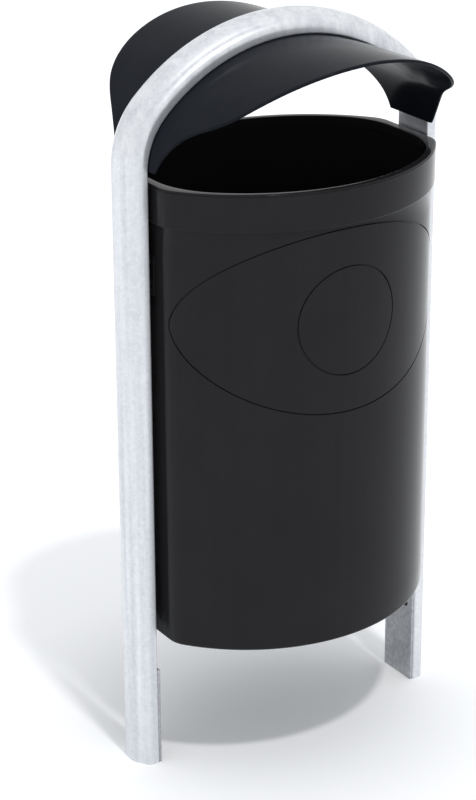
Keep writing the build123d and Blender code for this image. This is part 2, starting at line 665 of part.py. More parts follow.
def make_cam_screw():
    """The screw that holds the cam on the core."""
    head = cylinder_x(PLATE_SCREW * HEAD_RATIO, cam_end, cam_end + CAM_SCREW_HEAD)
    shank = cylinder_x(PLATE_SCREW - 2 * FIT_CLEARANCE, cam_face - 1.5 * PLATE_SCREW, cam_end + EPS)
    return Pos(0, 0, lock_height) * (head + shank)


def keeper_rivet_place():
    """Y and Z of the keeper's rivet."""
    return keeper_front - KEEPER_THICKNESS - KEEPER_FLANGE / 2, keeper_bottom + KEEPER_HEIGHT / 2


def make_lock_keeper():
    """The angle on the hanger plate that the locked cam stands behind."""
    z0, z1 = keeper_bottom, keeper_bottom + KEEPER_HEIGHT
    flange_face = hanger_face - KEEPER_THICKNESS / 2
    tab_front = keeper_front - KEEPER_THICKNESS
    keeper = block(hanger_face - KEEPER_REACH, hanger_face, tab_front, keeper_front, z0, z1)
    keeper += block(flange_face, hanger_face, tab_front - KEEPER_FLANGE, tab_front + EPS, z0, z1)
    y, z = keeper_rivet_place()
    return keeper - cylinder_x(PLATE_SCREW + 2 * FIT_CLEARANCE, flange_face - EPS, hanger_face + EPS, y, z)


def make_keeper_rivet():
    """The rivet through the keeper and the hanger plate."""
    y, z = keeper_rivet_place()
    face = hanger_face - KEEPER_THICKNESS / 2
    head = cylinder_x(PLATE_SCREW * NUT_RATIO, face - CLIP_THICKNESS, face, y, z)
    return head + cylinder_x(PLATE_SCREW, face - CLIP_THICKNESS / 2, half_span, y, z)


# ---------------------------------------------------------------- export

def both_sides(pieces):
    """Right-side pieces and their left-side twins, kept as separate solids."""
    return Compound(children=list(pieces) + [to_left(piece) for piece in pieces])


def sub_parts():
    """Every node's name and shape."""
    parts = {
        "arch_frame": make_arch_frame(),
        "hood_shell": make_hood_shell(),
        "bucket_shell": make_bucket_shell(),
        "hood_screws": both_sides(make_hood_screws()),
        "hood_washers": both_sides(make_hood_washers()),
        "hood_rivet_nuts": both_sides(make_hood_nuts()),
        "hanger_screws": both_sides(make_hanger_screws()),
        "hanger_nuts": both_sides(make_hanger_nuts()),
        "foot_screws": both_sides(make_foot_screws()),
        "foot_nuts": both_sides(make_foot_nuts()),
        "lock_barrel": to_left(make_lock_barrel()),
        "lock_clip": to_left(make_lock_clip()),
        "lock_core": to_left(make_lock_core()),
        "lock_cam": to_left(make_lock_cam()),
        "cam_screw": to_left(make_cam_screw()),
        "lock_keeper": to_left(make_lock_keeper()),
        "keeper_rivet": to_left(make_keeper_rivet()),
    }
    handed = {
        "pivot_bush": make_pivot_bush(),
        "pivot_pin": make_pivot_pin(),
        "pivot_washer": make_pivot_washer(),
        "pivot_plate": make_pivot_plate(),
        "backing_plate": make_backing_plate(),
        "stop_pin": make_stop_pin(),
        "foot_plate": make_foot_plate(),
        "foot_plug": make_foot_plug(),
    }
    for name, shape in handed.items():
        parts[name + "_right"] = shape
        parts[name + "_left"] = to_left(shape)
    parts["hanger_plate_right"] = make_hanger_plate(with_keeper=False)
    parts["hanger_plate_left"] = to_left(make_hanger_plate(with_keeper=True))
    for side, turned in (("right", lambda s: s), ("left", to_left)):
        parts["plate_screws_" + side] = Compound(children=[turned(s) for s in make_plate_screws()])
        parts["plate_nuts_" + side] = Compound(children=[turned(s) for s in make_plate_nuts()])
    return parts


os.makedirs("parts", exist_ok=True)
for node, solid in sub_parts().items():
    export_step(solid, f"parts/{node}.step")
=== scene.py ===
"""Arch-framed litter bin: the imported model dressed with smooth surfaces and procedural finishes."""
import json
import logging
import math
from dataclasses import dataclass, field
from enum import Enum
from typing import Sequence

import bmesh
import bpy
import numpy as np
from mathutils import Euler, Matrix


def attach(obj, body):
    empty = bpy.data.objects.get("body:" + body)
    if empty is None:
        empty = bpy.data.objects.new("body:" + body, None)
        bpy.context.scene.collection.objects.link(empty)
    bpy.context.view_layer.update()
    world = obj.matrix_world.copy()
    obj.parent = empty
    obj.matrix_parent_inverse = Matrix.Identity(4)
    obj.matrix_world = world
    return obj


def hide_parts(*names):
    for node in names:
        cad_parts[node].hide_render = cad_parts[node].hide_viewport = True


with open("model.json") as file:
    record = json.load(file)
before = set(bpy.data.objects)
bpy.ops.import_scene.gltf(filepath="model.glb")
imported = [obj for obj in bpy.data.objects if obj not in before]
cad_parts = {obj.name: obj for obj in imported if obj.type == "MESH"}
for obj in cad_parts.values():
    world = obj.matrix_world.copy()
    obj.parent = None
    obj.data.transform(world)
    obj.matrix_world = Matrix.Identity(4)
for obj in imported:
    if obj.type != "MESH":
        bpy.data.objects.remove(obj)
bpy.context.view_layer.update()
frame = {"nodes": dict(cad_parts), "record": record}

LOG = logging.getLogger("litter_bin")
MM = 0.001
MERGE_DISTANCE = 1e-6
SLIVER = 1e-7
STREAK_SCALE = 85.0
SPANGLE_SCALE = 260.0
STREAK_SQUEEZE = (1.0, 1.0, 0.03)
MOTTLE_RANGE = (0.36, 0.64)
STREAK_RANGE = (0.35, 0.65)
UNIT_RANGE = (0.0, 1.0)
SHARP_ANGLE = 32.0
ANGLE_SLACK = 1e-9
Colour = tuple[float, float, float]
Place = tuple[float, float, float]
Span = tuple[float, float]
Tree = bpy.types.NodeTree
Node = bpy.types.Node
Socket = bpy.types.NodeSocket
Material = bpy.types.Material
Object = bpy.types.Object


class Body(Enum):
    """The bodies that new pieces ride on."""

    FRAME = "frame"
    BUCKET = "bucket"


# ------------------------ surfaces

@dataclass
class Surface:
    """A polygon surface: vertices as rows of x, y, z in millimetres and faces as rows of four indices."""

    vertices: np.ndarray
    faces: np.ndarray

    def joined(self, other: "Surface") -> "Surface":
        """This surface and another one as a single surface."""
        moved = other.faces + len(self.vertices)
        return Surface(np.vstack([self.vertices, other.vertices]), np.vstack([self.faces, moved]))


def grid_surface(points: np.ndarray, wrap: bool) -> Surface:
    """A surface over a grid of points: each cell between rows i, i+1 and columns j, j+1 is one face.

    Args:
        points: array of shape (rows, columns, 3).
        wrap: whether the last column joins the first.

    Returns:
        The surface.
    """
    rows, columns = points.shape[:2]
    cells = columns if wrap else columns - 1
    i, j = np.meshgrid(np.arange(rows - 1), np.arange(cells), indexing="ij")
    after = (j + 1) % columns
    near, far = i * columns, (i + 1) * columns
    faces = np.stack([near + j, near + after, far + after, far + j], -1)
    return Surface(points.reshape(-1, 3), faces.reshape(-1, 4))


def directions(degrees: np.ndarray) -> np.ndarray:
    """Unit vectors (cos a, sin a) at angles in degrees."""
    angle = np.radians(degrees)
    return np.stack([np.cos(angle), np.sin(angle)], -1)


def arc(centre: Sequence[float], radius: float, start: float, end: float, count: int) -> np.ndarray:
    """Points on a circle, at even steps from a start angle to an end angle in degrees."""
    return np.asarray(centre) + radius * directions(np.linspace(start, end, count))


def mirrored(half: np.ndarray) -> np.ndarray:
    """Closes an outline that starts and ends on the first axis with its mirror image across it."""
    return np.vstack([half, half[-2:0:-1] * [1, -1]])


def natural_curve(points: Sequence[Sequence[float]], count: int) -> np.ndarray:
    """A natural cubic spline through points, its parameter being the distance along the chords.

    The second derivatives M solve the usual three-term equations with M = 0 at both ends, and each span
    is the cubic that has those second derivatives and the two end values.

    Args:
        points: the points the curve goes through.
        count: number of points on the result.

    Returns:
        Array of shape (count, 2).
    """
    p = np.asarray(points, float)
    t = np.concatenate([[0.0], np.cumsum(np.linalg.norm(np.diff(p, axis=0), axis=1))])
    h = np.diff(t)
    size = len(p)
    system = np.eye(size)
    inner = np.arange(1, size - 1)
    system[inner, inner - 1] = h[:-1]
    system[inner, inner] = 2 * (h[:-1] + h[1:])
    system[inner, inner + 1] = h[1:]
    right = np.zeros_like(p)
    slope = np.diff(p, axis=0) / h[:, None]
    right[1:-1] = 6 * np.diff(slope, axis=0)
    second = np.linalg.solve(system, right)
    at = np.linspace(0, t[-1], count)
    span = np.clip(np.searchsorted(t, at, side="right") - 1, 0, size - 2)
    a = ((t[span + 1] - at) / h[span])[:, None]
    b = 1 - a
    bend = ((a**3 - a) * second[span] + (b**3 - b) * second[span + 1]) * (h[span] ** 2)[:, None] / 6
    return a * p[span] + b * p[span + 1] + bend


# ------------------------ node groups

def new_group(name: str, inputs: dict[str, float], output: str = "Mask",
              kind: str = "NodeSocketFloat") -> tuple[Tree, Node, Node]:
    """An empty shader node group with a vector input named Vector, number inputs and one output.

    Args:
        name: the group's name.
        inputs: each number input's name and default.
        output: the output's name.
        kind: the output's socket type.

    Returns:
        The node group, its input node and its output node.
    """
    tree = bpy.data.node_groups.new(name, "ShaderNodeTree")
    tree.interface.new_socket("Vector", in_out="INPUT", socket_type="NodeSocketVector")
    for label, value in inputs.items():
        socket = tree.interface.new_socket(label, in_out="INPUT", socket_type="NodeSocketFloat")
        socket.default_value = value
    tree.interface.new_socket(output, in_out="OUTPUT", socket_type=kind)
    return tree, tree.nodes.new("NodeGroupInput"), tree.nodes.new("NodeGroupOutput")


def add_math(tree: Tree, operation: str, first: object, second: object) -> Socket:
    """A math node whose two inputs are sockets or numbers.

    Args:
        tree: the node tree.
        operation: the node's operation.
        first: a socket or a number.
        second: a socket or a number.

    Returns:
        The node's output socket.
    """
    node = tree.nodes.new("ShaderNodeMath")
    node.operation = operation
    for index, value in enumerate((first, second)):
        if isinstance(value, (int, float)):
            node.inputs[index].default_value = value
        else:
            tree.links.new(value, node.inputs[index])
    return node.outputs[0]


def add_range(tree: Tree, value: Socket, source: Span, target: Span, eased: bool = False) -> Socket:
    """Takes a value from one range to another and holds it at the ends.

    Args:
        tree: the node tree.
        value: the socket that gives the value.
        source: the range that is read.
        target: the range that it becomes.
        eased: whether the change starts and ends softly.

    Returns:
        The new value's socket.
    """
    node = tree.nodes.new("ShaderNodeMapRange")
    if eased:
        node.interpolation_type = "SMOOTHSTEP"
    for label, number in zip(("From Min", "From Max", "To Min", "To Max"), (*source, *target)):
        node.inputs[label].default_value = number
    tree.links.new(value, node.inputs["Value"])
    return node.outputs["Result"]


def add_noise(tree: Tree, vector: Socket, scale: object, detail: float) -> Socket:
    """A noise texture.

    Args:
        tree: the node tree.
        vector: the socket that gives its coordinates.
        scale: a socket or a number.
        detail: its number of octaves.

    Returns:
        The noise value's socket.
    """
    node = tree.nodes.new("ShaderNodeTexNoise")
    node.inputs["Detail"].default_value = detail
    tree.links.new(vector, node.inputs["Vector"])
    if isinstance(scale, (int, float)):
        node.inputs["Scale"].default_value = scale
    else:
        tree.links.new(scale, node.inputs["Scale"])
    return node.outputs[0]


def build_cloud_group() -> Tree:
    """Mottle: half coarse noise and half noise four times finer, stretched to fill 0 to 1."""
    tree, start, end = new_group("cloud_mottle", {"Scale": 8.0})
    coarse = add_noise(tree, start.outputs["Vector"], start.outputs["Scale"], 3.0)
    fine_scale = add_math(tree, "MULTIPLY", start.outputs["Scale"], 4.0)
    fine = add_noise(tree, start.outputs["Vector"], fine_scale, 2.0)
    both = add_math(tree, "MULTIPLY", add_math(tree, "ADD", coarse, fine), 0.5)
    tree.links.new(add_range(tree, both, MOTTLE_RANGE, UNIT_RANGE), end.inputs["Mask"])
    return tree


def build_streak_group() -> Tree:
    """Long streaks: noise whose coordinates are squeezed along Z, so that it changes slowly with height."""
    tree, start, end = new_group("vertical_streaks", {"Scale": 60.0})
    squeeze = tree.nodes.new("ShaderNodeMapping")
    squeeze.inputs["Scale"].default_value = STREAK_SQUEEZE
    tree.links.new(start.outputs["Vector"], squeeze.inputs["Vector"])
    lines = add_noise(tree, squeeze.outputs["Vector"], start.outputs["Scale"], 4.0)
    tree.links.new(add_range(tree, lines, STREAK_RANGE, UNIT_RANGE), end.inputs["Mask"])
    return tree


def build_spangle_group() -> Tree:
    """Zinc spangle: each Voronoi cell has its own grey, softened by noise."""
    tree, start, end = new_group("zinc_spangle", {"Scale": 90.0})
    cells = tree.nodes.new("ShaderNodeTexVoronoi")
    tree.links.new(start.outputs["Vector"], cells.inputs["Vector"])
    tree.links.new(start.outputs["Scale"], cells.inputs["Scale"])
    grey = tree.nodes.new("ShaderNodeRGBToBW")
    tree.links.new(cells.outputs["Color"], grey.inputs[0])
    haze = add_noise(tree, start.outputs["Vector"], start.outputs["Scale"], 5.0)
    both = add_math(tree, "MULTIPLY", add_math(tree, "ADD", grey.outputs[0], haze), 0.5)
    tree.links.new(both, end.inputs["Mask"])
    return tree


def build_grain_group() -> Tree:
    """Moulded grain: fine noise as a bump, given out as a normal."""
    values = {"Scale": 900.0, "Depth": 0.00002}
    tree, start, end = new_group("moulded_grain", values, "Normal", "NodeSocketVector")
    pits = add_noise(tree, start.outputs["Vector"], start.outputs["Scale"], 2.0)
    height = add_math(tree, "MULTIPLY", pits, start.outputs["Depth"])
    bump = tree.nodes.new("ShaderNodeBump")
    bump.inputs["Distance"].default_value = 1.0
    tree.links.new(height, bump.inputs["Height"])
    tree.links.new(bump.outputs["Normal"], end.inputs["Normal"])
    return tree


@dataclass
class EffectGroups:
    """The shader node groups that several finishes share."""

    cloud: Tree = field(default_factory=build_cloud_group)
    streak: Tree = field(default_factory=build_streak_group)
    spangle: Tree = field(default_factory=build_spangle_group)
    grain: Tree = field(default_factory=build_grain_group)


# ------------------------ finishes

@dataclass(frozen=True)
class Finish:
    """A finish: a base colour that drifts to a second one, with its gloss and grain.

    Args:
        name: the material's name.
        colour: the main colour.
        drift: the colour where the mottle is strongest.
        metallic: how metallic it is.
        gloss: roughness where the mottle is weakest.
        dull: roughness where the mottle is strongest.
        specular: the specular level.
        cloud_scale: size of the mottle, larger is finer.
        streaks: share of long vertical streaks in the mottle.
        spangle: share of zinc spangle in the mottle.
        grain_scale: fineness of the grain.
        grain_depth: depth of the grain in metres.
    """

    name: str
    colour: Colour
    drift: Colour
    metallic: float = 0.0
    gloss: float = 0.3
    dull: float = 0.4
    specular: float = 0.5
    cloud_scale: float = 8.0
    streaks: float = 0.0
    spangle: float = 0.0
    grain_scale: float = 900.0
    grain_depth: float = 0.00001

    def build(self, groups: EffectGroups) -> Material:
        """Makes the material.

        The mottle's mask is mixed with the streaks and then the spangle, each by its share.

        Args:
            groups: the shared effects.

        Returns:
            The finished material.
        """
        material = bpy.data.materials.new(self.name)
        material.use_nodes = True
        tree = material.node_tree
        shader = next(node for node in tree.nodes if node.type == "BSDF_PRINCIPLED")
        shader.inputs["Metallic"].default_value = self.metallic
        shader.inputs["Specular IOR Level"].default_value = self.specular
        place = tree.nodes.new("ShaderNodeTexCoord")
        mask = self._placed(tree, groups.cloud, place, {"Scale": self.cloud_scale})
        for group, share, scale in ((groups.streak, self.streaks, STREAK_SCALE),
                                    (groups.spangle, self.spangle, SPANGLE_SCALE)):
            if share:
                second = self._placed(tree, group, place, {"Scale": scale})
                kept = add_math(tree, "MULTIPLY", mask, 1 - share)
                mask = add_math(tree, "ADD", kept, add_math(tree, "MULTIPLY", second, share))
        tint = tree.nodes.new("ShaderNodeMix")
        tint.data_type = "RGBA"
        tint.inputs["A"].default_value = (*self.colour, 1.0)
        tint.inputs["B"].default_value = (*self.drift, 1.0)
        tree.links.new(mask, tint.inputs["Factor"])
        tree.links.new(tint.outputs["Result"], shader.inputs["Base Color"])
        rough = add_range(tree, mask, UNIT_RANGE, (self.gloss, self.dull))
        tree.links.new(rough, shader.inputs["Roughness"])
        values = {"Scale": self.grain_scale, "Depth": self.grain_depth}
        tree.links.new(self._placed(tree, groups.grain, place, values), shader.inputs["Normal"])
        return material

    @staticmethod
    def _placed(tree: Tree, group: Tree, place: Node, values: dict[str, float]) -> Socket:
        """Places a group on Object coordinates.

        Args:
            tree: the material's node tree.
            group: the group.
            place: the texture coordinate node.
            values: the values of the group's inputs.

        Returns:
            The group's output.
        """
        node = tree.nodes.new("ShaderNodeGroup")
        node.node_tree = group
        tree.links.new(place.outputs["Object"], node.inputs["Vector"])
        for label, value in values.items():
            node.inputs[label].default_value = value
        return node.outputs[0]


GALVANISED = Finish(
    "galvanised_frame", (0.90, 0.92, 0.94), (0.56, 0.58, 0.62), metallic=0.6, gloss=0.26, dull=0.44,
    cloud_scale=45.0, streaks=0.7, spangle=0.45, grain_scale=600.0, grain_depth=0.00006)
# Painted shade: the frame's galvanising with its colours darkened, standing in for the shade on the inner
# face of a foot.
GALVANISED_PLATE_PAINTED_SHADE = Finish(
    "galvanised_plate", (0.62, 0.63, 0.65), (0.28, 0.29, 0.31), metallic=0.7, gloss=0.4, dull=0.6,
    cloud_scale=40.0, streaks=0.1, spangle=0.7, grain_scale=500.0, grain_depth=0.00004)
HOOD_BLACK = Finish(
    "black_hood", (0.011, 0.013, 0.017), (0.015, 0.017, 0.022), gloss=0.12, dull=0.18, specular=0.018,
    cloud_scale=5.0, streaks=0.2, grain_scale=260.0, grain_depth=0.000004)
BUCKET_BLACK = Finish(
    "black_bucket", (0.016, 0.0155, 0.0168), (0.019, 0.0185, 0.0198), gloss=0.08, dull=0.13,
    specular=0.10, cloud_scale=4.0, streaks=0.35, grain_scale=420.0, grain_depth=0.000006)
INSERT_BLACK = Finish("black_insert", (0.02, 0.02, 0.02), (0.03, 0.03, 0.03), gloss=0.5, dull=0.65)
BUSH_PLASTIC = Finish("bush_plastic", (0.03, 0.03, 0.03), (0.045, 0.045, 0.045), gloss=0.35, dull=0.5)
PLATE_BLACK = Finish(
    "black_plate", (0.009, 0.009, 0.0095), (0.014, 0.014, 0.014), gloss=0.35, dull=0.5, specular=0.15,
    spangle=0.2, grain_scale=600.0, grain_depth=0.00003)
SCREW_BLACK = Finish(
    "black_screw", (0.025, 0.025, 0.026), (0.05, 0.05, 0.05), metallic=0.5, gloss=0.35, dull=0.5)
SCREW_ZINC = Finish(
    "zinc_screw", (0.62, 0.62, 0.60), (0.45, 0.45, 0.44), metallic=1.0, gloss=0.28, dull=0.42,
    cloud_scale=60.0)
PIN_STEEL = Finish(
    "pin_steel", (0.58, 0.58, 0.58), (0.42, 0.42, 0.42), metallic=1.0, gloss=0.22, dull=0.36,
    cloud_scale=60.0, streaks=0.3)
LOCK_BRASS = Finish(
    "lock_brass", (0.72, 0.55, 0.27), (0.5, 0.38, 0.2), metallic=1.0, gloss=0.25, dull=0.4,
    cloud_scale=80.0)
FINISHES = {
    finish.name: finish
    for finish in (GALVANISED, GALVANISED_PLATE_PAINTED_SHADE, HOOD_BLACK, BUCKET_BLACK, INSERT_BLACK, BUSH_PLASTIC,
                   PLATE_BLACK, SCREW_BLACK, SCREW_ZINC, PIN_STEEL, LOCK_BRASS)
}


@dataclass
class Workshop:
    """Turns surfaces into pieces on their bodies, in their finishes."""

    groups: EffectGroups = field(default_factory=EffectGroups)
    materials: dict[str, Material] = field(default_factory=dict)

    def material(self, finish: Finish) -> Material:
        """The finish's material, built the first time it is asked for."""
        if finish.name not in self.materials:
            self.materials[finish.name] = finish.build(self.groups)
        return self.materials[finish.name]

    def piece(self, obj: Object, finish: Finish, body: Body, nodes: Sequence[str]) -> None:
        """Makes an object a visible piece that stands for CAD nodes.

        Args:
            obj: the object.
            finish: its finish, named as its material slot is.
            body: the body it rides on.
            nodes: the CAD nodes it replaces.
        """
        obj.data.materials.append(self.material(finish))
        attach(obj, body.value)
        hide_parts(*nodes)
        LOG.info("piece %s: %d faces for %s", obj.name, len(obj.data.polygons), ", ".join(nodes))

    def dress(self, node: str, slot: str) -> None:
        """Gives a CAD node that stays the detailed material of its slot.

        Args:
            node: the CAD node.
            slot: its material slot's name.
        """
        finish = FINISHES[slot]
        obj = frame["nodes"][node]
        if not obj.material_slots:
            obj.data.materials.append(None)
        for holder in obj.material_slots:
            holder.material = self.material(finish)
        LOG.info("node %s: finish %s", node, slot)


def add_object(name: str, data: bpy.types.ID) -> Object:
    """A new object in the scene, from its mesh, camera or lamp."""
    obj = bpy.data.objects.new(name, data)
    bpy.context.scene.collection.objects.link(obj)
    return obj


def new_mesh_object(name: str, surface: Surface, sharp: float = SHARP_ANGLE) -> Object:
    """A mesh object from a surface, with its doubles merged and its faces turned outwards.

    Args:
        name: the object's name.
        surface: the surface in millimetres.
        sharp: the smallest angle in degrees at which an edge stays sharp.

    Returns:
        The object, linked to the scene.
    """
    mesh = bpy.data.meshes.new(name)
    mesh.from_pydata((surface.vertices * MM).tolist(), [], surface.faces.tolist())
    work = bmesh.new()
    work.from_mesh(mesh)
    bmesh.ops.remove_doubles(work, verts=work.verts, dist=MERGE_DISTANCE)
    bmesh.ops.dissolve_degenerate(work, edges=work.edges, dist=SLIVER)
    bmesh.ops.recalc_face_normals(work, faces=work.faces)
    work.to_mesh(mesh)
    work.free()
    smooth_with_sharp_edges(mesh, sharp)
    return add_object(name, mesh)


def smooth_with_sharp_edges(mesh: bpy.types.Mesh, sharp: float) -> None:
    """Shades a mesh smooth, apart from edges steeper than an angle in degrees."""
    mesh.polygons.foreach_set("use_smooth", np.ones(len(mesh.polygons), bool))
    mesh.set_sharp_from_angle(angle=math.radians(sharp))
    mesh.update()


# ------------------------ frame

@dataclass
class ArchFrame:
    """The bent D-section tube, its inner line being a three-centred arch on two straight posts."""

    clear_width: float = 428.0
    spring: float = 838.0
    rise: float = 145.6
    haunch_radius: float = 97.0
    depth: float = 66.0
    thickness: float = 29.0
    side: float = 8.0
    shoulder_radius: float = 12.5
    valley_offset: float = 24.0
    corner: float = 2.5
    wall: float = 3.0
    corner_points: int = 7
    shoulder_points: int = 12
    crown_points: int = 14
    flat_points: int = 6
    curve_rows: int = 40
    post_rows: int = 16
    sharp: float = 20.0

    @property
    def span(self) -> float:
        """Half the clear width."""
        return self.clear_width / 2

    @property
    def crown_radius(self) -> float:
        """Radius of the crown that meets both haunches smoothly."""
        top = self.span**2 + self.rise**2 - 2 * self.span * self.haunch_radius
        return top / (2 * (self.rise - self.haunch_radius))

    def line(self, low: float, curve_rows: int, straight_rows: int) -> tuple[np.ndarray, np.ndarray]:
        """The inner line from the left foot over the arch to the right foot.

        A post is a vertical line; a haunch or the crown is centre plus radius times (cos a, sin a). The
        outward normal is (-1, 0) or (1, 0) on a post and (cos a, sin a) on an arc.

        Args:
            low: height of the first and last point.
            curve_rows: points on each haunch; the crown has twice as many.
            straight_rows: points on each post, or 0 for the arch alone.

        Returns:
            Points and outward normals in X and Z, each of shape (rows, 2).
        """
        haunch_x = self.span - self.haunch_radius
        drop = self.crown_radius - self.rise
        turn = math.degrees(math.atan2(drop, haunch_x))
        start = math.degrees(math.asin(max(low - self.spring, 0.0) / self.haunch_radius))
        angles = np.concatenate([
            np.linspace(180 - start, 180 - turn, curve_rows),
            np.linspace(180 - turn, turn, 2 * curve_rows)[1:],
            np.linspace(turn, start, curve_rows)[1:],
        ])
        is_crown = (angles <= 180 - turn + ANGLE_SLACK) & (angles >= turn - ANGLE_SLACK)
        sign = np.where(angles > 90, -1.0, 1.0)
        centre_x = np.where(is_crown, 0.0, sign * haunch_x)
        centre_z = np.where(is_crown, self.spring - drop, self.spring)
        radius = np.where(is_crown, self.crown_radius, self.haunch_radius)
        normals = directions(angles)
        points = np.stack([centre_x, centre_z], -1) + radius[:, None] * normals
        if straight_rows:
            heights = np.linspace(low, self.spring, straight_rows)[:-1]
            left = np.stack([np.full_like(heights, -self.span), heights], -1)
            right = (left * [-1, 1])[::-1]
            points = np.vstack([left, points, right])
            flat = np.tile([1.0, 0.0], (len(heights), 1))
            normals = np.vstack([-flat, normals, flat])
        return points, normals

    def outline(self) -> np.ndarray:
        """The section as (distance out from the flat face, depth).

        From the flat's middle it goes over a corner, a shoulder down to the valley, and the crown, and
        then back as its mirror image.
        """
        half = self.depth / 2
        centre_y = half - self.shoulder_radius
        turn = math.degrees(math.asin((self.valley_offset - centre_y) / self.shoulder_radius))
        valley = self.side + self.shoulder_radius * math.cos(math.radians(turn))
        height = self.thickness - valley
        crown = (self.valley_offset**2 + height**2) / (2 * height)
        spread = math.degrees(math.asin(self.valley_offset / crown))
        upper = np.vstack([
            [[0.0, 0.0], [0.0, half / 2]],
            arc((self.corner, half - self.corner), self.corner, 180, 90, self.corner_points),
            arc((self.side, centre_y), self.shoulder_radius, 90, turn, self.shoulder_points),
            arc((self.thickness - crown, 0.0), crown, spread, 0, self.crown_points)[1:],
        ])
        return mirrored(upper)

    def space(self, count: int) -> np.ndarray:
        """The hollow inside the wall: flat, side and crown.

        Args:
            count: how many points the outline has; the hollow gets as many.

        Returns:
            Its points, as the outline's.
        """
        half = self.depth / 2 - self.wall
        top = self.thickness - self.wall
        height = top - self.side
        crown = (half**2 + height**2) / (2 * height)
        spread = math.degrees(math.asin(half / crown))
        flat = self.flat_points
        upper = np.vstack([
            np.stack([np.full(flat, self.wall), np.linspace(0, half, flat)], -1),
            np.stack([np.linspace(self.wall, self.side, flat + 1)[1:], np.full(flat, half)], -1),
            arc((top - crown, 0.0), crown, spread, 0, count // 2 - 2 * flat + 2)[1:],
        ])
        return mirrored(upper)

    def surface(self) -> Surface:
        """The tube's outside, its inside and the two cut ends.

        A point is the inner line's point plus the section's first number times the outward normal, at the
        depth that the section's second number gives.
        """
        points, normals = self.line(0.0, self.curve_rows, self.post_rows)
        outside = self.outline()
        outer = self._carry(points, normals, outside)
        inner = self._carry(points, normals, self.space(len(outside)))
        tube = grid_surface(outer, True).joined(grid_surface(inner, True))
        for row in (0, -1):
            tube = tube.joined(grid_surface(np.stack([outer[row], inner[row]]), True))
        return tube

    @staticmethod
    def _carry(points: np.ndarray, normals: np.ndarray, section: np.ndarray) -> np.ndarray:
        """Carries the section along the line.

        Args:
            points: the line's points in X and Z.
            normals: its outward normals.
            section: rows of (distance out, depth).

        Returns:
            A grid with a row for each point and a column for each row of the section.
        """
        xz = points[:, None, :] + section[None, :, :1] * normals[:, None, :]
        depth = np.broadcast_to(section[None, :, 1], xz.shape[:2])
        return np.stack([xz[..., 0], depth, xz[..., 1]], -1)

    def build(self, shop: Workshop) -> None:
        """Makes the frame's visible piece."""
        tube = new_mesh_object("Frame_tube", self.surface(), self.sharp)
        shop.piece(tube, GALVANISED, Body.FRAME, ["arch_frame"])


# ------------------------ hood

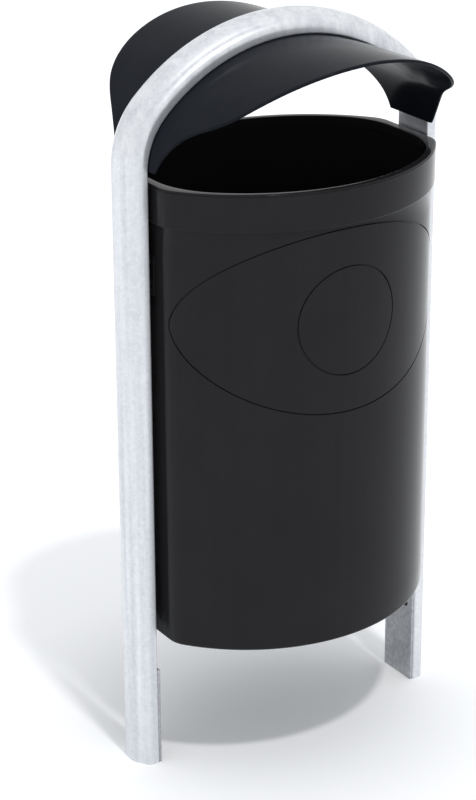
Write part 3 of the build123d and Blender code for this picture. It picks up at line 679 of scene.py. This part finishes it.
@dataclass
class Hood:
    """The moulded sheet under the arch: a straight vault whose front part rises as a visor."""

    arch: ArchFrame
    gap: float = 0.3
    wall: float = 4.0
    start: float = 3.0
    crease: float = 46.0
    visor_rise: float = 0.032
    leg: float = 46.0
    front_depth: float = 213.0
    back_depth: float = 190.0
    tip_depth: float = 146.0
    tip_height: float = 85.0
    back_tip_inset: float = 6.0
    back_middle_inset: float = 19.0
    front_bend: tuple[Span, Span] = ((0.11, 0.21), (0.51, 0.7))
    back_bend: tuple[Span, Span] = ((0.13, 0.29), (0.41, 0.62))
    crease_ease: float = 3.0
    edge_points: int = 400
    curve_rows: int = 48
    face_points: int = 110
    round_points: int = 8
    settling_steps: int = 6
    sharp: float = 40.0

    def edge_curves(self) -> tuple[np.ndarray, np.ndarray]:
        """Side view of the front and back edges, as (distance from the middle plane, height).

        Each runs through the leg's end, its two bends, the tip, a middle point and the crown.
        """
        tip = self.arch.spring + self.tip_height
        top = self.arch.spring + self.arch.rise
        middle = (tip + top) / 2
        front = [*self._leg_points(self.front_bend), (self.tip_depth, tip),
                 ((self.tip_depth + self.front_depth) / 2, middle), (self.front_depth, top + self.wall)]
        back = [*self._leg_points(self.back_bend), (self.tip_depth - self.back_tip_inset, tip),
                (self.back_depth - self.back_middle_inset, middle), (self.back_depth, top)]
        return natural_curve(front, self.edge_points), natural_curve(back, self.edge_points)

    def _leg_points(self, bend: tuple[Span, Span]) -> list[Span]:
        """The leg's end and its two bends, which are shares of the way out and up to the tip."""
        low = self.arch.spring + self.start
        reach = self.tip_depth - self.leg
        rise = self.arch.spring + self.tip_height - low
        return [(self.leg + out * reach, low + up * rise) for out, up in ((0.0, 0.0), *bend)]

    def lift(self, depth: np.ndarray) -> np.ndarray:
        """Rise of the sheet at signed depths: the visor's slope times the distance past the crease.

        The slope is eased in by the logarithm of 1 plus e to the power of that distance over the ease.
        """
        past = (-depth - self.crease) / self.crease_ease
        return self.visor_rise * self.crease_ease * np.logaddexp(0.0, past)

    def surface(self) -> Surface:
        """The sheet as closed loops, one for each place round the arch.

        A loop goes forward along the outer face, round the front edge on a half circle, back along the
        inner face and round the back edge. Each point is the sheet's middle line plus its height above
        that line times the arch's outward normal, at its depth, lifted by the visor's rise.
        """
        half = self.wall / 2
        points, normals = self.arch.line(self.arch.spring + self.start, self.curve_rows, 0)
        middle = points - (self.gap + half) * normals
        front, back = self.edge_curves()
        height = middle[:, 1] + half * normals[:, 1]
        back_edge = np.interp(height, back[:, 1], back[:, 0]) - half
        front_edge = np.interp(height, front[:, 1], front[:, 0])
        for _ in range(self.settling_steps):
            front_edge = np.interp(height + self.lift(-front_edge), front[:, 1], front[:, 0])
        front_edge = -(front_edge - half)
        share = np.linspace(0, 1, self.face_points)
        along = back_edge[:, None] + (front_edge - back_edge)[:, None] * share
        turn = np.radians(np.linspace(0, 180, self.round_points))[1:-1]
        round_front = front_edge[:, None] - half * np.sin(turn)
        round_back = back_edge[:, None] + half * np.sin(turn)
        depth = np.hstack([along, round_front, along[:, ::-1], round_back])
        upper = np.concatenate([np.full(self.face_points, half), half * np.cos(turn)])
        above = np.broadcast_to(np.concatenate([upper, -upper]), depth.shape)
        xz = middle[:, None, :] + above[..., None] * normals[:, None, :]
        grid = np.stack([xz[..., 0], depth, xz[..., 1] + self.lift(depth)], -1)
        sheet = grid_surface(grid, True)
        for row in (0, -1):
            sheet = sheet.joined(self._leg_end(grid[row], len(turn)))
        return sheet

    @staticmethod
    def _leg_end(loop: np.ndarray, turns: int) -> Surface:
        """Closes a leg's lower end: each point of the loop's outer half joins the one across the sheet."""
        order = np.roll(loop, turns // 2, axis=0)
        half = len(order) // 2
        return grid_surface(np.stack([order[:half], order[half:][::-1]]), False)

    def build(self, shop: Workshop) -> None:
        """Makes the hood's visible piece."""
        sheet = new_mesh_object("Hood_sheet", self.surface(), self.sharp)
        shop.piece(sheet, HOOD_BLACK, Body.FRAME, ["hood_shell"])


# ------------------------ bucket

@dataclass
class Bucket:
    """The moulded bucket: a plan of two wide arcs and flat ends, a collar, a flat rim and moulded lines."""

    rim: float = 823.0
    height: float = 632.0
    depth: float = 344.0
    half_length: float = 208.5
    face_radius: float = 250.0
    corner_radius: float = 43.0
    collar: float = 50.0
    step: float = 4.5
    chamfer: float = 2.0
    wall: float = 4.0
    floor: float = 5.0
    rim_round: float = 1.2
    rim_width: float = 10.0
    rim_end_width: float = 12.5
    rim_depth: float = 14.0
    opening_flat: float = 0.36
    rim_line_drop: float = 2.2
    rim_line_size: float = 0.8
    rim_line_floor: float = 0.75
    rim_line_ease: Span = (0.15, 0.1)
    lip_chamfer: float = 0.5
    collar_hold: float = 0.5
    collar_fillet: tuple[Span, ...] = ((0.0, -0.8), (0.3, -0.25), (1.0, 0.0))
    base_round: float = 5.0
    inner_round: float = 6.0
    inner_hold: float = 1.0
    drain: float = 10.0
    drain_spacing: float = 160.0
    drain_clear: float = 2.0
    drain_reach: float = 15.0
    drain_points: int = 32
    oval_half_width: float = 202.5
    oval_half_height: float = 124.0
    oval_drop: float = 179.0
    label_radius: float = 73.0
    line_width: float = 1.8
    line_depth: float = 2.2
    line_ease: float = 0.2
    line_taper: float = 0.75
    line_lip: float = 0.15
    line_clear: float = 1.5
    line_points: int = 360
    end_points: int = 3
    corner_points: int = 18
    face_points: int = 150
    wall_rows: int = 20
    flat_rows: int = 8
    round_rows: int = 8
    rim_rows: int = 7
    chamfer_rows: int = 6

    @property
    def shift(self) -> float:
        """Distance from the middle plane to the centres of the front and back arcs."""
        return self.face_radius - self.depth / 2

    @property
    def corner_x(self) -> float:
        """X of the corner arcs' centres."""
        return self.half_length - self.corner_radius

    @property
    def corner_y(self) -> float:
        """Y of the back corner arcs' centres."""
        link = self.face_radius - self.corner_radius
        return math.sqrt(link**2 - self.corner_x**2) - self.shift

    def opening(self) -> tuple[np.ndarray, np.ndarray]:
        """The opening's plan: its corners leave a set share of each flat end straight.

        A corner of radius r touches the face arc of radius F where (F - r)^2 = (h - r)^2 + (s + shift)^2,
        h being the half length and s the straight end's half; this is linear in r.
        """
        half = self.half_length - self.rim_end_width
        face = self.face_radius - self.rim_width
        straight = self.opening_flat * (math.sqrt(face**2 - half**2) - self.shift)
        corner = (face**2 - half**2 - (straight + self.shift) ** 2) / (2 * (face - half))
        return self.plan(half, corner, face)

    def plan(self, half_length: float, corner: float, face: float) -> tuple[np.ndarray, np.ndarray]:
        """A barrel-shaped plan: points and outward normals, anticlockwise from the middle of the right end.

        Each point is an arc's centre plus its radius times the normal (cos a, sin a), so that moving the
        outline outwards by g adds g times the normal; on the flat ends the normal stays along X. Every
        plan has the same number of points, so that two plans can be joined.

        Args:
            half_length: from the middle to a flat end.
            corner: radius of the four corners.
            face: radius of the front and back.

        Returns:
            Points and outward normals in X and Y.
        """
        corner_x = half_length - corner
        corner_y = math.sqrt((face - corner) ** 2 - corner_x**2) - self.shift
        turn = math.degrees(math.atan2(corner_y + self.shift, corner_x))
        bend = np.linspace(0, turn, self.corner_points)
        wide = np.linspace(turn, 180 - turn, self.face_points)[1:-1]
        ends = np.zeros(self.end_points)
        angles = np.concatenate([ends, bend, wide, 180 - bend[::-1], ends + 180])
        flat = np.linspace(0, corner_y, self.end_points + 1)[:-1]
        level = np.full(len(bend), corner_y)
        side = np.full(len(flat) + len(bend), corner_x)
        centre_x = np.concatenate([side, np.zeros(len(wide)), -side])
        centre_y = np.concatenate([flat, level, np.full(len(wide), -self.shift), level, flat[::-1]])
        corners = np.full(len(side), corner)
        radius = np.concatenate([corners, np.full(len(wide), face), corners])
        normals = directions(angles)
        back = np.stack([centre_x, centre_y], -1) + radius[:, None] * normals
        return mirrored(back), mirrored(normals)

    def outer_profile(self) -> np.ndarray:
        """The outside's upright section, from the base's middle to the rim's top edge.

        Rows are growth from the collar's plan, height and shrink towards the middle.
        """
        low = self.rim - self.height
        body = -self.step
        collar = self.rim - self.collar
        r, b, c = self.rim_round, self.base_round, self.chamfer
        under = np.full((self.flat_rows, 2), [body - b, low])
        fillet = np.array([body, collar]) + self.collar_fillet
        heights = np.linspace(low + b, fillet[0, 1], self.wall_rows)[1:]
        wall = np.column_stack([np.full(len(heights), body), heights])
        edge = np.vstack([[-c - self.collar_hold, collar],
                          arc((-c, collar + c), c, -90, 0, self.chamfer_rows)])
        line = self.rim - self.rim_line_drop
        d, floor = self.rim_line_size, self.rim_line_size * self.rim_line_floor
        ease, top_ease = self.rim_line_ease
        groove = [[0.0, line - d - ease], [-ease, line - d], [-d, line - floor],
                  [-d, line + floor], [-ease, line + d], [0.0, line + d + top_ease]]
        upright = np.vstack([under, arc((body - b, low + b), b, -90, 0, self.round_rows), wall, fillet[1:],
                             edge, groove, arc((-r, self.rim - r), r, 0, 90, self.rim_rows)])
        shrink = np.ones(len(upright))
        shrink[:self.flat_rows] = np.linspace(0, 1, self.flat_rows + 1)[:-1]
        return np.column_stack([upright, shrink])

    def lip_profile(self) -> np.ndarray:
        """The opening's upright section, down to the lip's underside.

        Rows are growth from the opening's plan and height.
        """
        r, low = self.rim_round, self.rim - self.rim_depth
        return np.vstack([arc((r, self.rim - r), r, 90, 180, self.rim_rows),
                          [[0.0, low + self.lip_chamfer], [self.lip_chamfer, low]]])

    def hollow_profile(self) -> np.ndarray:
        """The inside's upright section, from the lip's underside to the floor's middle.

        Rows are growth from the collar's plan, height and shrink towards the middle.
        """
        inner = -self.step - self.wall
        deck = self.rim - self.height + self.floor
        f = self.inner_round
        heights = np.linspace(self.rim - self.rim_depth, deck + f + self.inner_hold, self.wall_rows)
        inside = np.column_stack([np.full(len(heights), inner), heights])
        bowl = arc((inner - f, deck + f), f, 0, -90, self.round_rows)
        upright = np.vstack([inside, bowl, np.full((self.flat_rows, 2), [inner - f, deck])])
        shrink = np.ones(len(upright))
        shrink[-self.flat_rows:] = np.linspace(1, 0, self.flat_rows + 1)[1:]
        return np.column_stack([upright, shrink])

    def surface(self) -> Surface:
        """The bucket's closed skin: (plan + growth times normal) times shrink, at the profile's height."""
        points, normals = self.plan(self.half_length, self.corner_radius, self.face_radius)
        opening, opening_normals = self.opening()
        rows = []
        for plan, normal, profile in ((points, normals, self.outer_profile()),
                                      (opening, opening_normals, self.lip_profile()),
                                      (points, normals, self.hollow_profile())):
            xy = plan[None] + profile[:, None, :1] * normal[None]
            if profile.shape[1] == 3:
                xy = xy * profile[:, None, 2:]
            rows.append(np.dstack([xy, np.broadcast_to(profile[:, 1:2], xy.shape[:2])]))
        return grid_surface(np.vstack(rows), True)

    def line_cutter(self, half_width: float, half_height: float) -> Surface:
        """A closed bar that follows an ellipse laid on the bucket's front.

        The ellipse is (a cos t, b sin t) in X and Z. Its depth is the front arc's, shift minus the root of
        R squared less x squared, or the corner arc's where that begins. The bar's section lies in the
        plane of the surface's normal and the direction across the line: a slot that opens with a small
        slope at the surface.

        Args:
            half_width: the ellipse's half width.
            half_height: its half height.

        Returns:
            The bar's surface.
        """
        t = np.linspace(0, 2 * np.pi, self.line_points + 1)[:-1]
        x = half_width * np.cos(t)
        z = self.rim - self.oval_drop + half_height * np.sin(t)
        face = self.face_radius - self.step
        corner = self.corner_radius - self.step
        turn = math.atan2(self.corner_y + self.shift, self.corner_x)
        on_face = np.abs(x) < face * math.cos(turn)
        past = np.clip(np.abs(x) - self.corner_x, 0, corner)
        y = np.where(on_face, self.shift - np.sqrt(face**2 - x**2),
                     -self.corner_y - np.sqrt(corner**2 - past**2))
        normal_x = np.where(on_face, x / face, np.sign(x) * past / corner)
        normal_y = np.where(on_face, (y - self.shift) / face, (y + self.corner_y) / corner)
        centre = np.stack([x, y, z], -1)
        normal = np.stack([normal_x, normal_y, np.zeros_like(x)], -1)
        along = np.roll(centre, -1, axis=0) - np.roll(centre, 1, axis=0)
        across = np.cross(along, normal)
        across /= np.linalg.norm(across, axis=1, keepdims=True)
        half, ease = self.line_width / 2, self.line_ease
        side = np.array([[half * self.line_taper, -self.line_depth], [half, -ease],
                         [half + ease, self.line_lip * ease], [half + ease, self.line_clear]])
        section = np.vstack([side, (side * [-1, 1])[::-1]])[None]
        bar = centre[:, None] + section[..., :1] * across[:, None] + section[..., 1:] * normal[:, None]
        return grid_surface(np.vstack([bar, bar[:1]]), True)

    def drain_cutter(self, x: float, y: float) -> Surface:
        """An upright closed bar through the bucket's floor.

        Args:
            x: X of its middle.
            y: Y of its middle.

        Returns:
            The bar's surface.
        """
        low = self.rim - self.height - self.drain_clear
        top = low + self.drain_reach
        ring = arc((x, y), self.drain / 2, 0, 360, self.drain_points + 1)[:-1]
        spot = np.full_like(ring, [x, y])
        levels = ((spot, low), (ring, low), (ring, top), (spot, top))
        return grid_surface(np.stack([np.insert(plan, 2, z, axis=1) for plan, z in levels]), True)

    def build(self, shop: Workshop) -> None:
        """Makes the bucket's visible piece, with its moulded lines and drain holes cut out."""
        shell = new_mesh_object("Bucket_shell", self.surface())
        half = self.drain_spacing / 2
        cutters = [self.line_cutter(self.oval_half_width, self.oval_half_height),
                   self.line_cutter(self.label_radius, self.label_radius)]
        cutters += [self.drain_cutter(x, y) for x, y in ((-half, 0), (half, 0), (0, -half), (0, half))]
        cut_out(shell, cutters)
        shop.piece(shell, BUCKET_BLACK, Body.BUCKET, ["bucket_shell"])


def cut_out(obj: Object, cutters: Sequence[Surface]) -> None:
    """Subtracts closed surfaces from an object's mesh, leaving no modifier on it.

    Args:
        obj: the object that is cut.
        cutters: the closed surfaces.
    """
    for number, cutter in enumerate(cutters):
        tool = new_mesh_object(f"cutter_{number}", cutter)
        modifier = obj.modifiers.new("cut", "BOOLEAN")
        modifier.operation = "DIFFERENCE"
        modifier.solver = "EXACT"
        modifier.object = tool
        graph = bpy.context.evaluated_depsgraph_get()
        cut = bpy.data.meshes.new_from_object(obj.evaluated_get(graph))
        obj.modifiers.remove(modifier)
        obj.data = cut
        bpy.data.objects.remove(tool)
    smooth_with_sharp_edges(obj.data, SHARP_ANGLE)


# ------------------------ plates

@dataclass
class FootPlate:
    """The galvanised plate on the inner face of a foot, its edges slightly rounded."""

    side: int
    name: str
    face: float = 214.0
    thickness: float = 4.2
    depth: float = 63.5
    height: float = 142.0
    corner: float = 1.5
    edge: float = 0.6
    corner_points: int = 5
    edge_rows: int = 4
    sharp: float = 35.0

    def surface(self) -> Surface:
        """A rounded slab: a rectangle with round corners, drawn in at both faces by a quarter circle."""
        half_z = self.height / 2
        reach = np.array([self.depth / 2, half_z]) - self.corner
        outline = np.vstack([
            arc(reach * [sy, sz], self.corner, start, start + 90, self.corner_points)
            for sy, sz, start in ((1, 1, 0), (-1, 1, 90), (-1, -1, 180), (1, -1, 270))
        ])
        normal = outline - np.clip(outline, -reach, reach)
        normal /= np.linalg.norm(normal, axis=1, keepdims=True)
        rounding = arc((-self.edge, self.edge), self.edge, -90, 0, self.edge_rows)
        steps = np.vstack([rounding, (rounding * [1, -1] + [0, self.thickness])[::-1]])
        middle = np.zeros((1, *outline.shape))
        yz = np.vstack([middle, outline + steps[:, None, :1] * normal, middle])
        level = np.concatenate([[0.0], steps[:, 1], [self.thickness]])
        x = np.broadcast_to(self.side * (self.face - level)[:, None], yz.shape[:2])
        return grid_surface(np.dstack([x, yz[..., 0], yz[..., 1] + half_z]), True)

    def build(self, shop: Workshop) -> None:
        """Makes the plate's visible piece."""
        plate = new_mesh_object("Foot_plate_" + self.name, self.surface(), self.sharp)
        # The plate's darker galvanising is painted shade of the foot's inner face.
        shop.piece(plate, GALVANISED_PLATE_PAINTED_SHADE, Body.FRAME, ["foot_plate_" + self.name])


# ------------------------ studio

def add_coloured(tree: Tree, kind: str, colour: Colour) -> Node:
    """A new shader node of the given kind with its colour set."""
    node = tree.nodes.new(kind)
    node.inputs["Color"].default_value = (*colour, 1.0)
    return node


def mix_for_eye(tree: Tree, light: Node, seen: Node, target: Socket) -> None:
    """Joins two shaders: one gives the light that is thrown, the other one is what shows.

    The mix's factor is the largest of the camera, glossy and transmission ray flags.

    Args:
        tree: the node tree.
        light: the shader that throws light.
        seen: the shader that shows to the eye and in reflections.
        target: the output node's input.
    """
    path = tree.nodes.new("ShaderNodeLightPath")
    eye = add_math(tree, "MAXIMUM", path.outputs["Is Camera Ray"], path.outputs["Is Glossy Ray"])
    eye = add_math(tree, "MAXIMUM", eye, path.outputs["Is Transmission Ray"])
    mix = tree.nodes.new("ShaderNodeMixShader")
    for source, end in zip((eye, light.outputs[0], seen.outputs[0]), mix.inputs):
        tree.links.new(source, end)
    tree.links.new(mix.outputs[0], target)


@dataclass
class Studio:
    """The camera, the pale floor and the soft light, in metres and degrees; the lens is in millimetres."""

    camera_place: Place = (-1.64904, -2.50941, 1.71661)
    heading: float = 33.515
    pitch: float = 22.507
    roll: float = 0.197
    lens: float = 108.49
    sensor_width: float = 36.0
    shift: Span = (-0.05997, 0.00377)
    clip_end: float = 100.0
    white: Colour = (1.0, 1.0, 1.0)
    floor_reach: float = 14.0
    floor_bounce: Colour = (0.8, 0.8, 0.8)
    # Painted shadow: the floor's glow, its colour, and its strength growing from none to full between these
    # distances from the middle, so the floor near the bin stays darker.
    shadow_glow_colour: Colour = (1.0, 0.98, 0.96)
    shadow_glow_strength: Span = (0.0, 0.2)
    shadow_glow_distance: Span = (0.1, 0.45)
    sun_energy: float = 0.9
    sun_angle: float = 4.0
    sun_tip: float = 26.0
    sun_lean: float = -2.0
    sky_colour: Colour = (0.93, 0.96, 1.0)
    sky_strength: float = 0.78

    def build(self) -> None:
        """Builds the camera, the floor, the sun and the world."""
        self.place_camera()
        self.lay_floor()
        self.hang_sun()
        self.paint_world()

    def place_camera(self) -> None:
        """Places the scene's camera: turned to its heading, tipped down by its pitch, then rolled."""
        data = bpy.data.cameras.new("camera")
        data.lens = self.lens
        data.sensor_width = self.sensor_width
        data.shift_x, data.shift_y = self.shift
        data.clip_end = self.clip_end
        camera = add_object("camera", data)
        turn = Matrix.Rotation(math.radians(-self.heading), 4, "Z")
        tip = Matrix.Rotation(math.radians(90 - self.pitch), 4, "X")
        roll = Matrix.Rotation(math.radians(self.roll), 4, "Z")
        camera.matrix_world = Matrix.Translation(self.camera_place) @ turn @ tip @ roll
        bpy.context.scene.camera = camera

    def lay_floor(self) -> None:
        """Lays a wide white floor.

        It shows whiter than the light it throws, and away from the middle a weak glow is added to it. This
        glow is painted shadow: it is none at the middle and grows outwards, so the floor under and beside
        the bin shows darker.
        """
        mesh = bpy.data.meshes.new("Floor")
        reach = self.floor_reach
        corners = [(-reach, -reach, 0), (reach, -reach, 0), (reach, reach, 0), (-reach, reach, 0)]
        mesh.from_pydata(corners, [], [(0, 1, 2, 3)])
        floor = add_object("Floor", mesh)
        material = bpy.data.materials.new("white_floor")
        material.use_nodes = True
        tree = material.node_tree
        tree.nodes.clear()
        out = tree.nodes.new("ShaderNodeOutputMaterial")
        place = tree.nodes.new("ShaderNodeTexCoord")
        distance = tree.nodes.new("ShaderNodeVectorMath")
        distance.operation = "LENGTH"
        tree.links.new(place.outputs["Object"], distance.inputs[0])
        # Painted contact shadow: an emission that is none near the middle and full further out.
        glow = add_coloured(tree, "ShaderNodeEmission", self.shadow_glow_colour)
        strength = add_range(tree, distance.outputs["Value"], self.shadow_glow_distance, self.shadow_glow_strength, True)
        tree.links.new(strength, glow.inputs["Strength"])
        seen = tree.nodes.new("ShaderNodeAddShader")
        shaded = add_coloured(tree, "ShaderNodeBsdfDiffuse", self.white)
        tree.links.new(shaded.outputs[0], seen.inputs[0])
        tree.links.new(glow.outputs[0], seen.inputs[1])
        bounced = add_coloured(tree, "ShaderNodeBsdfDiffuse", self.floor_bounce)
        mix_for_eye(tree, bounced, seen, out.inputs["Surface"])
        mesh.materials.append(material)

    def hang_sun(self) -> None:
        """Hangs one soft sun above and in front."""
        data = bpy.data.lights.new("key", "SUN")
        data.energy = self.sun_energy
        data.angle = math.radians(self.sun_angle)
        key = add_object("key", data)
        key.rotation_euler = Euler((math.radians(self.sun_tip), math.radians(self.sun_lean), 0))

    def paint_world(self) -> None:
        """Paints the world: white to the eye and in reflections, softer and slightly blue as a light."""
        world = bpy.data.worlds.new("studio")
        bpy.context.scene.world = world
        world.use_nodes = True
        tree = world.node_tree
        tree.nodes.clear()
        out = tree.nodes.new("ShaderNodeOutputWorld")
        soft = add_coloured(tree, "ShaderNodeBackground", self.sky_colour)
        soft.inputs["Strength"].default_value = self.sky_strength
        seen = add_coloured(tree, "ShaderNodeBackground", self.white)
        mix_for_eye(tree, soft, seen, out.inputs["Surface"])


def main() -> None:
    """Builds every sub-assembly in order and then the studio."""
    logging.basicConfig(level=logging.INFO)
    bpy.context.scene.view_settings.view_transform = "Standard"
    shop = Workshop()
    arch = ArchFrame()
    replaced = {"arch_frame", "hood_shell", "bucket_shell", "foot_plate_left", "foot_plate_right"}
    for assembly in (arch, Hood(arch), Bucket(), FootPlate(-1, "left"), FootPlate(1, "right")):
        assembly.build(shop)
    for entry in frame["record"]["subparts"]:
        if entry["node"] not in replaced:
            shop.dress(entry["node"], entry["material_slot"])
    Studio().build()


if __name__ == "__main__":
    main()
